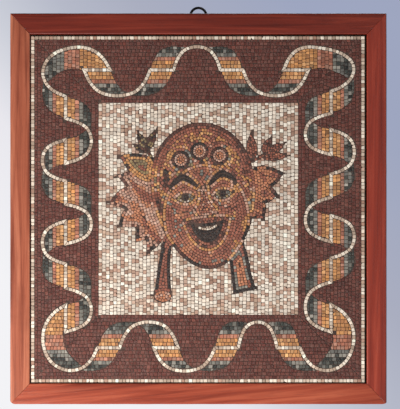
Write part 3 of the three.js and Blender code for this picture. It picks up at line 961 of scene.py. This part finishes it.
def rubbed(x, z, corner_x, worn):
    """Moves a point near a bottom corner of the frame inside its rubbed curve."""
    along, up = worn
    a, b = abs(x - corner_x), z - FRAME_LOW[2]
    if a >= along or b >= up:
        return x, z
    over_a, over_b = 1 - a / along, 1 - b / up
    reach = math.hypot(over_a, over_b)
    if reach <= 1:
        return x, z
    side = 1 if corner_x > 0 else -1
    return corner_x - side * along * (1 - over_a / reach), FRAME_LOW[2] + up * (1 - over_b / reach)


def rail_spot(side, along, u):
    """A place along a rail from its middle, and u inwards from its outer edge, as x and z."""
    x, z = (FRAME_LOW[0] + FRAME_HIGH[0]) / 2, (FRAME_LOW[2] + FRAME_HIGH[2]) / 2
    if side == "top":
        x, z = x + along, FRAME_HIGH[2] - u
    elif side == "bottom":
        x, z = x - along, FRAME_LOW[2] + u
    elif side == "left":
        x, z = FRAME_LOW[0] + u, z + along
    else:
        x, z = FRAME_HIGH[0] - u, z - along
    x, z = rubbed(x, z, FRAME_LOW[0], WORN_LEFT)
    return rubbed(x, z, FRAME_HIGH[0], WORN_RIGHT)


def tube_faces(rings, count):
    """Faces round a row of rings of points, closed at both ends."""
    faces = [tuple(range(count))]
    for k in range(rings - 1):
        for i in range(count):
            j = (i + 1) % count
            faces.append((k * count + i, (k + 1) * count + i, (k + 1) * count + j, k * count + j))
    last = (rings - 1) * count
    faces.append(tuple(range(last + count - 1, last - 1, -1)))
    return faces


def rail_object(node):
    """A mitred rail with finely rounded, slightly worn edges, cut to the box of its solid."""
    low, high = box_mm(node)
    side = node.split("_")[-1]
    upright = side in ("left", "right")
    width = (high - low)[0 if upright else 2]
    full = (FRAME_HIGH - FRAME_LOW)[2 if upright else 0]
    across_other = (SIDE_WIDTH, END_WIDTH)[upright]
    back, front = high[1], low[1]
    section = rail_section(width, back - front)
    middle_u, middle_d = width / 2, (back - front) / 2
    verts = []
    places = stations(full / 2)
    for k, place in enumerate(places):
        for u, d in section:
            reach = full / 2 - MITRE_GAP - u * across_other / width
            along = place / (full / 2) * reach
            if k in (0, len(places) - 1):
                u += MITRE_EASE * (1 if u < middle_u else -1) * (d > middle_d)
                d -= MITRE_EASE * (d > middle_d)
            wear = RAIL_WEAR * abs(noise.noise(Vector((along / 21, u / 9, len(side) * 3.1))))
            if d > middle_d and (u < 2 * RAIL_RADIUS or u > width - 2 * RAIL_RADIUS):
                u += wear if u < middle_u else -wear
                d -= wear
            x, z = rail_spot(side, along, u)
            verts.append((x, back - d, z))
    faces = tube_faces(len(places), len(section))
    return new_object(node.replace("frame_", "wood_"), verts, faces)


def facing_out(thing, smooth_angle=40):
    """Turns a closed mesh's faces outwards and shades its gentle edges smooth."""
    bm = bmesh.new()
    bm.from_mesh(thing.data)
    bmesh.ops.recalc_face_normals(bm, faces=bm.faces)
    for face in bm.faces:
        face.smooth = True
    for edge in bm.edges:
        edge.smooth = len(edge.link_faces) == 2 and edge.calc_face_angle() < math.radians(smooth_angle)
    bm.to_mesh(thing.data)
    bm.free()
    return thing


def ring_mesh(verts, faces):
    """Adds the hanging ring, whose inner top is at the frame's origin."""
    centre_z = RING_WIRE - RING_RADIUS
    first = len(verts)
    for i in range(RING_TURNS):
        around = 2 * math.pi * i / RING_TURNS
        ahead = (i + 1) % RING_TURNS
        for j in range(WIRE_SIDES):
            over = 2 * math.pi * j / WIRE_SIDES
            beside = (j + 1) % WIRE_SIDES
            out = RING_RADIUS + RING_WIRE * math.cos(over)
            verts.append((out * math.cos(around), RING_WIRE * math.sin(over),
                          centre_z + out * math.sin(around)))
            faces.append(tuple(first + a * WIRE_SIDES + b
                               for a, b in ((i, j), (ahead, j), (ahead, beside), (i, beside))))


def plate_mesh(verts, faces):
    """Adds the eye plate behind the top rail: a flattened oval with eased edges."""
    low, high = box_mm("hanger")
    bottom, half_width = low[2], high[0]
    half_height = PLATE_HEIGHT / 2
    middle = bottom + half_height
    front, back = low[1], low[1] + PLATE_THICKNESS
    first = len(verts)
    for y, inset in ((front, PLATE_EASE), (front + PLATE_EASE, 0), (back - PLATE_EASE, 0),
                     (back, PLATE_EASE)):
        for i in range(RING_TURNS):
            angle = 2 * math.pi * i / RING_TURNS
            x = max(-1, min(1, 1.12 * math.cos(angle))) * (half_width - inset)
            z = max(-1, min(1, 1.25 * math.sin(angle))) * (half_height - inset)
            verts.append((x, y, middle + z))
    for ring in range(3):
        for i in range(RING_TURNS):
            j = (i + 1) % RING_TURNS
            low_ring, high_ring = first + ring * RING_TURNS, first + (ring + 1) * RING_TURNS
            faces.append((low_ring + i, low_ring + j, high_ring + j, high_ring + i))
    faces.append(tuple(range(first, first + RING_TURNS)))
    faces.append(tuple(range(first + 3 * RING_TURNS, first + 4 * RING_TURNS)))


def hanger_object():
    """The hanging ring and its plate, as one piece."""
    verts, faces = [], []
    ring_mesh(verts, faces)
    plate_mesh(verts, faces)
    return facing_out(new_object("hanging_eye", verts, faces))


# ---- materials -----------------------------------------------------------------------------
class Nodes:
    """A short way to write a material's node graph."""

    def __init__(self, name):
        self.material = bpy.data.materials.new(name)
        self.material.use_nodes = True
        self.tree = self.material.node_tree
        self.shader = self.tree.nodes["Principled BSDF"]

    def add(self, kind, inputs=None, **settings):
        node = self.tree.nodes.new(kind)
        for key, value in settings.items():
            setattr(node, key, value)
        for key, value in (inputs or {}).items():
            self.set(node.inputs[key], value)
        return node

    def set(self, socket, value):
        if isinstance(value, bpy.types.NodeSocket):
            self.tree.links.new(value, socket)
        else:
            socket.default_value = value

    def shade(self, **values):
        for key, value in values.items():
            self.set(self.shader.inputs[key.replace("_", " ")], value)

    def math(self, operation, a, b=0.0):
        return self.add("ShaderNodeMath", {0: a, 1: b}, operation=operation).outputs[0]

    def noise(self, coords, scale, detail=4.0, roughness=0.6, distortion=0.0):
        return self.add("ShaderNodeTexNoise", {
            "Vector": coords, "Scale": scale, "Detail": detail, "Roughness": roughness,
            "Distortion": distortion,
        }).outputs["Fac"]

    def object_coords(self, scale=(1, 1, 1), rotation=(0, 0, 0)):
        coords = self.add("ShaderNodeTexCoord").outputs["Object"]
        return self.add("ShaderNodeMapping", {
            "Vector": coords, "Scale": scale, "Rotation": rotation,
        }).outputs[0]

    def ramp(self, value, stops):
        node = self.add("ShaderNodeValToRGB", {0: value})
        ramp = node.color_ramp
        while len(ramp.elements) < len(stops):
            ramp.elements.new(0.5)
        for element, (place, colour) in zip(ramp.elements, stops):
            element.position = place
            element.color = (*linear(colour), 1)
        return node.outputs["Color"]

    def levels(self, value, low, high, to_low=0.0, to_high=1.0):
        return self.add("ShaderNodeMapRange", {
            "Value": value, "From Min": low, "From Max": high, "To Min": to_low, "To Max": to_high,
        }).outputs[0]

    def mix(self, share, a, b, blend="MIX"):
        node = self.add("ShaderNodeMix", data_type="RGBA", blend_type=blend)
        for key, value in ((0, share), (6, a), (7, b)):
            self.set(node.inputs[key], value)
        return node.outputs[2]

    def bump(self, height, distance, strength=1.0):
        return self.add("ShaderNodeBump", {
            "Height": height, "Distance": distance, "Strength": strength,
        }).outputs[0]


def stone_material():
    """Honed marble and limestone: each stone's own colour, clouded, veined and finely pitted."""
    n = Nodes("stone")
    own = n.add("ShaderNodeAttribute", attribute_name="stone_colour")
    coords = n.object_coords()
    offset = n.math("MULTIPLY", own.outputs["Alpha"], 40.0)
    moved = n.add("ShaderNodeVectorMath", {0: coords, 1: n.add(
        "ShaderNodeCombineXYZ", {"X": offset, "Y": offset, "Z": offset}).outputs[0]},
        operation="ADD").outputs[0]
    clouds = n.noise(moved, 260.0, 5.0, 0.65)
    grains = n.noise(moved, 1500.0, 3.0, 0.6)
    tone = n.math("ADD", n.levels(clouds, 0.3, 0.7, 0.86, 1.12), n.levels(grains, 0.3, 0.7, -0.07, 0.07))
    colour = n.mix(1.0, own.outputs["Color"], n.add(
        "ShaderNodeCombineXYZ", {"X": tone, "Y": tone, "Z": tone}).outputs[0], "MULTIPLY")
    veins = n.levels(n.math("ABSOLUTE", n.math("SUBTRACT", n.noise(moved, 120.0, 6.0, 0.7, 1.5), 0.5)),
                     0.0, 0.018, 0.25, 0.0)
    colour = n.mix(veins, colour, (0.55, 0.5, 0.45, 1))
    pits = n.levels(n.noise(moved, 900.0, 2.0, 0.5), 0.28, 0.4)
    height = n.math("ADD", n.math("MULTIPLY", clouds, 0.6), n.math("MULTIPLY", pits, 0.4))
    n.shade(Base_Color=colour, Roughness=n.levels(clouds, 0.3, 0.7, 0.58, 0.46),
            Normal=n.bump(height, 0.00012, 0.5))
    n.shader.inputs["Specular IOR Level"].default_value = 0.35
    return n.material


def grout_material():
    """Dark sandy mortar in two tones."""
    n = Nodes("mortar")
    coords = n.object_coords()
    sand = n.noise(coords, 1800.0, 3.0, 0.7)
    patches = n.noise(coords, 14.0, 4.0)
    colour = n.mix(n.levels(patches, 0.35, 0.65), (*linear((66, 50, 44)), 1), (*linear((88, 70, 62)), 1))
    n.shade(Base_Color=colour, Roughness=0.92, Normal=n.bump(sand, 0.0003, 0.8))
    return n.material


def wood_material(name, turn, grain_tones_and_painted_light):
    """Oiled mahogany with its grain along the rail; its three tones also carry the rail's painted light and
    shade. turn brings the rail's length to X.
    """
    n = Nodes(name)
    coords = n.object_coords(rotation=(0, turn, 0))
    stretched = n.add("ShaderNodeMapping", {"Vector": coords, "Scale": (4.5, 120.0, 120.0)}).outputs[0]
    figure = n.noise(stretched, 1.0, 6.0, 0.62, 0.7)
    fine = n.noise(n.add("ShaderNodeMapping", {"Vector": coords, "Scale": (30.0, 900.0, 900.0)}).outputs[0],
                   1.0, 4.0, 0.7)
    pores = n.levels(fine, 0.56, 0.68)
    # The tones hold painted light and shade as well as the grain's own colours.
    base = n.ramp(figure, [(0.3, grain_tones_and_painted_light[0]), (0.5, grain_tones_and_painted_light[1]), (0.7, grain_tones_and_painted_light[2])])
    dark = n.mix(1.0, base, (0.42, 0.33, 0.3, 1), "MULTIPLY")
    colour = n.mix(n.math("MULTIPLY", pores, 0.45), base, dark)
    bands = n.add("ShaderNodeMapping", {"Vector": coords, "Scale": (3.0, 75.0, 75.0)}).outputs[0]
    streaks = n.levels(n.noise(bands, 1.0, 3.0, 0.5, 1.2), 0.56, 0.72, 0.0, 0.55)
    colour = n.mix(streaks, colour, dark)
    stains = n.levels(n.noise(coords, 9.0, 5.0, 0.6), 0.58, 0.75, 0.0, 0.45)
    colour = n.mix(stains, colour, dark)
    height = n.math("SUBTRACT", n.math("MULTIPLY", figure, 0.3), pores)
    n.shade(Base_Color=colour, Roughness=n.levels(figure, 0.3, 0.7, 0.3, 0.42),
            Normal=n.bump(height, 0.00015, 0.35))
    n.shader.inputs["Coat Weight"].default_value = 0.25
    n.shader.inputs["Coat Roughness"].default_value = 0.3
    return n.material


def board_material():
    """Plain pale wood for the back."""
    n = Nodes("back_board")
    coords = n.object_coords(scale=(3.0, 3.0, 40.0))
    grain = n.noise(coords, 1.5, 5.0, 0.6, 0.4)
    n.shade(Base_Color=n.ramp(grain, [(0.3, (150, 118, 84)), (0.7, (190, 158, 120))]),
            Roughness=0.7, Normal=n.bump(grain, 0.0002, 0.3))
    return n.material


def metal_material(name, dark, light, roughness):
    """Worn metal, lighter where it is rubbed."""
    n = Nodes(name)
    coords = n.object_coords()
    wear = n.noise(coords, 240.0, 5.0, 0.65)
    n.shade(Base_Color=n.ramp(wear, [(0.35, dark), (0.72, light)]), Metallic=0.85,
            Roughness=n.levels(wear, 0.3, 0.7, roughness + 0.15, roughness),
            Normal=n.bump(n.noise(coords, 900.0), 0.0001, 0.4))
    return n.material


def dress(thing, material, slot_name, *nodes):
    """Gives a new piece its material and its place in the frame. slot_name is not used."""
    thing.data.materials.clear()
    thing.data.materials.append(material)
    if nodes:
        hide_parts(*nodes)
        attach(thing, "root")


# ---- building ------------------------------------------------------------------------------
def build_stones(name, slot_name, seed, layers, nodes, material):
    """Lays the stones of one piece, with its own seed, in place of its nodes."""
    bag = Bag(name, random.Random(seed))
    for layer in layers:
        layer(bag)
    thing = stones_object(bag)
    dress(thing, material, slot_name, *nodes)
    print(name, len(bag.stones), "stones,", len(thing.data.polygons), "faces")


stone = stone_material()
build_stones("stones_edge_line", "stone_cream", 1, [lay_edge_line], ["edge_line"], stone)
build_stones("stones_ribbon_line", "stone_cream", 2, [lay_line], ["ribbon_line"], stone)
build_stones("stones_ground", "stone_ground", 3, [
    lambda bag: lay_ground(bag, area_of("ground_outer"), *OUTER_GROUND),
    lambda bag: lay_ground(bag, area_of("ground_inner"), *INNER_GROUND),
], ["ground_outer", "ground_inner"], stone)
build_stones("stones_ribbon", "stone_ribbon", 4, [lay_ribbon], ["ribbon"], stone)
build_stones("stones_field", "stone_field", 5, [lay_field], ["field"], stone)
build_stones("stones_picture", "stone_terracotta", 6, [lay_picture], list(PICTURE), stone)
dress(grout_object(), grout_material(), "mortar", "mortar_bed")

# Painted light and shade: each rail's three grain tones are set lighter or darker by how the light falls on
# its side, lightest on the left, then the bottom and the right, darkest along the top.
WOOD_WITH_PAINTED_LIGHT = {
    "frame_rail_top": (0.0, [(94, 28, 17), (121, 39, 23), (146, 53, 32)]),
    "frame_rail_bottom": (0.09, [(123, 44, 27), (161, 67, 42), (190, 94, 63)]),
    "frame_rail_left": (math.pi / 2, [(126, 58, 39), (170, 90, 63), (200, 120, 88)]),
    "frame_rail_right": (math.pi / 2, [(117, 39, 27), (149, 52, 34), (175, 70, 47)]),
}
for rail, (turn, grain_tones_and_painted_light) in WOOD_WITH_PAINTED_LIGHT.items():
    dress(facing_out(rail_object(rail)), wood_material(rail, turn, grain_tones_and_painted_light), "frame_wood", rail)
bronze = metal_material("hanger_bronze", (38, 34, 34), (92, 84, 78), 0.4)
dress(hanger_object(), bronze, "hanger_bronze", "hanger")
screw_steel = metal_material("screw_steel", (110, 108, 104), (160, 158, 152), 0.35)
for node, material in (
    ("backing_board", board_material()),
    ("hanger_screw_left", screw_steel),
    ("hanger_screw_right", screw_steel),
):
    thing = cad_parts[node]
    thing.data.materials.clear()
    thing.data.materials.append(material)

# ---- camera, light and stage, in metres ----------------------------------------------------
DISTANCE = 4.0  # from the frame's front
CAMERA = (0.0022, -0.0241 - DISTANCE, -0.2713)
LENS = 63.73 * DISTANCE  # in millimetres, long enough to fill the view at any distance
CLIP = (0.05, 40.0)
CENTRE = (MIDDLE[0] * MM, -0.02, MIDDLE[1] * MM)
WORLD_COLOUR = (0.80, 0.84, 0.92, 1)
WORLD_LIGHT, WORLD_SEEN = 0.16, 0.8  # its strength as light on the panel, and as the camera sees it
WALL_HALF, WALL_AWAY = 8.0, 9.0
FLOOR_HALF, FLOOR_HEIGHT = 6.0, -2.6


def add_camera():
    """A long lens straight in front of the panel."""
    camera = bpy.data.objects.new("camera", bpy.data.cameras.new("camera"))
    camera.data.lens = LENS
    camera.data.clip_start, camera.data.clip_end = CLIP
    camera.location = CAMERA
    camera.rotation_euler = (math.pi / 2, 0, 0)
    bpy.context.scene.collection.objects.link(camera)
    bpy.context.scene.camera = camera


def area_light(name, place, aim, size, power, colour):
    """A square soft light that faces its aim."""
    light = bpy.data.lights.new(name, "AREA")
    light.shape, light.size, light.energy, light.color = "SQUARE", size, power, colour
    lamp = bpy.data.objects.new(name, light)
    lamp.location = place
    lamp.rotation_euler = (Vector(aim) - Vector(place)).to_track_quat("-Z", "Y").to_euler()
    bpy.context.scene.collection.objects.link(lamp)


def light_world():
    """Surroundings that look pale but light the panel only a little."""
    world = bpy.data.worlds.new("world")
    bpy.context.scene.world = world
    world.use_nodes = True
    tree = world.node_tree
    sky = tree.nodes["Background"]
    sky.inputs["Color"].default_value = WORLD_COLOUR
    seen = tree.nodes.new("ShaderNodeLightPath").outputs["Is Camera Ray"]
    strength = tree.nodes.new("ShaderNodeMapRange")
    strength.inputs["To Min"].default_value = WORLD_LIGHT
    strength.inputs["To Max"].default_value = WORLD_SEEN
    tree.links.new(seen, strength.inputs["Value"])
    tree.links.new(strength.outputs[0], sky.inputs["Strength"])


def painted_light_backdrop():
    """A floor, and a pale wall far behind that glows with painted light, whiter at the lower left and
    bluish at the upper right.
    """
    corners = [(x * WALL_HALF / MM, WALL_AWAY / MM, z * WALL_HALF / MM) for x, z in SQUARE]
    wall = new_object("painted_light_backdrop", corners, [(0, 1, 2, 3)])
    n = Nodes("painted_light_backdrop")
    coords = n.add("ShaderNodeSeparateXYZ", {0: n.object_coords()})
    slope = n.math("ADD", n.math("MULTIPLY", coords.outputs["X"], 0.55),
                   n.math("MULTIPLY", n.math("ADD", coords.outputs["Z"], 0.27), 0.45))
    share = n.levels(slope, -0.64, 0.64)
    # Painted light: the wall glows brightest and whitest at the lower left and dims to blue towards the
    # upper right.
    tone = n.ramp(share, [
        (0.0, (243, 243, 246)), (0.25, (233, 232, 238)), (0.4, (204, 207, 217)),
        (0.55, (181, 185, 200)), (0.7, (170, 174, 192)), (1.0, (158, 166, 192)),
    ])
    n.shade(Base_Color=(0, 0, 0, 1), Roughness=1.0)
    n.set(n.shader.inputs["Emission Color"], tone)
    n.shader.inputs["Emission Strength"].default_value = 1.0
    n.shader.inputs["Specular IOR Level"].default_value = 0.0
    wall.data.materials.append(n.material)
    corners = [(x * FLOOR_HALF / MM, y * FLOOR_HALF / MM, FLOOR_HEIGHT / MM) for x, y in SQUARE]
    floor = new_object("floor", corners, [(0, 1, 2, 3)])
    pale = Nodes("floor")
    pale.shade(Base_Color=(0.7, 0.71, 0.74, 1), Roughness=0.8)
    floor.data.materials.append(pale.material)


add_camera()
area_light("key", (-0.95, -1.1, -1.25), CENTRE, 0.8, 44.0, (1.0, 0.97, 0.93))
area_light("fill", (1.4, -2.0, -0.3), CENTRE, 1.6, 5.0, (0.95, 0.97, 1.0))
area_light("back", (0.6, 1.7, 0.8), CENTRE, 1.4, 16.0, (1.0, 1.0, 1.0))
light_world()
bpy.context.scene.view_settings.view_transform = "Standard"
painted_light_backdrop()
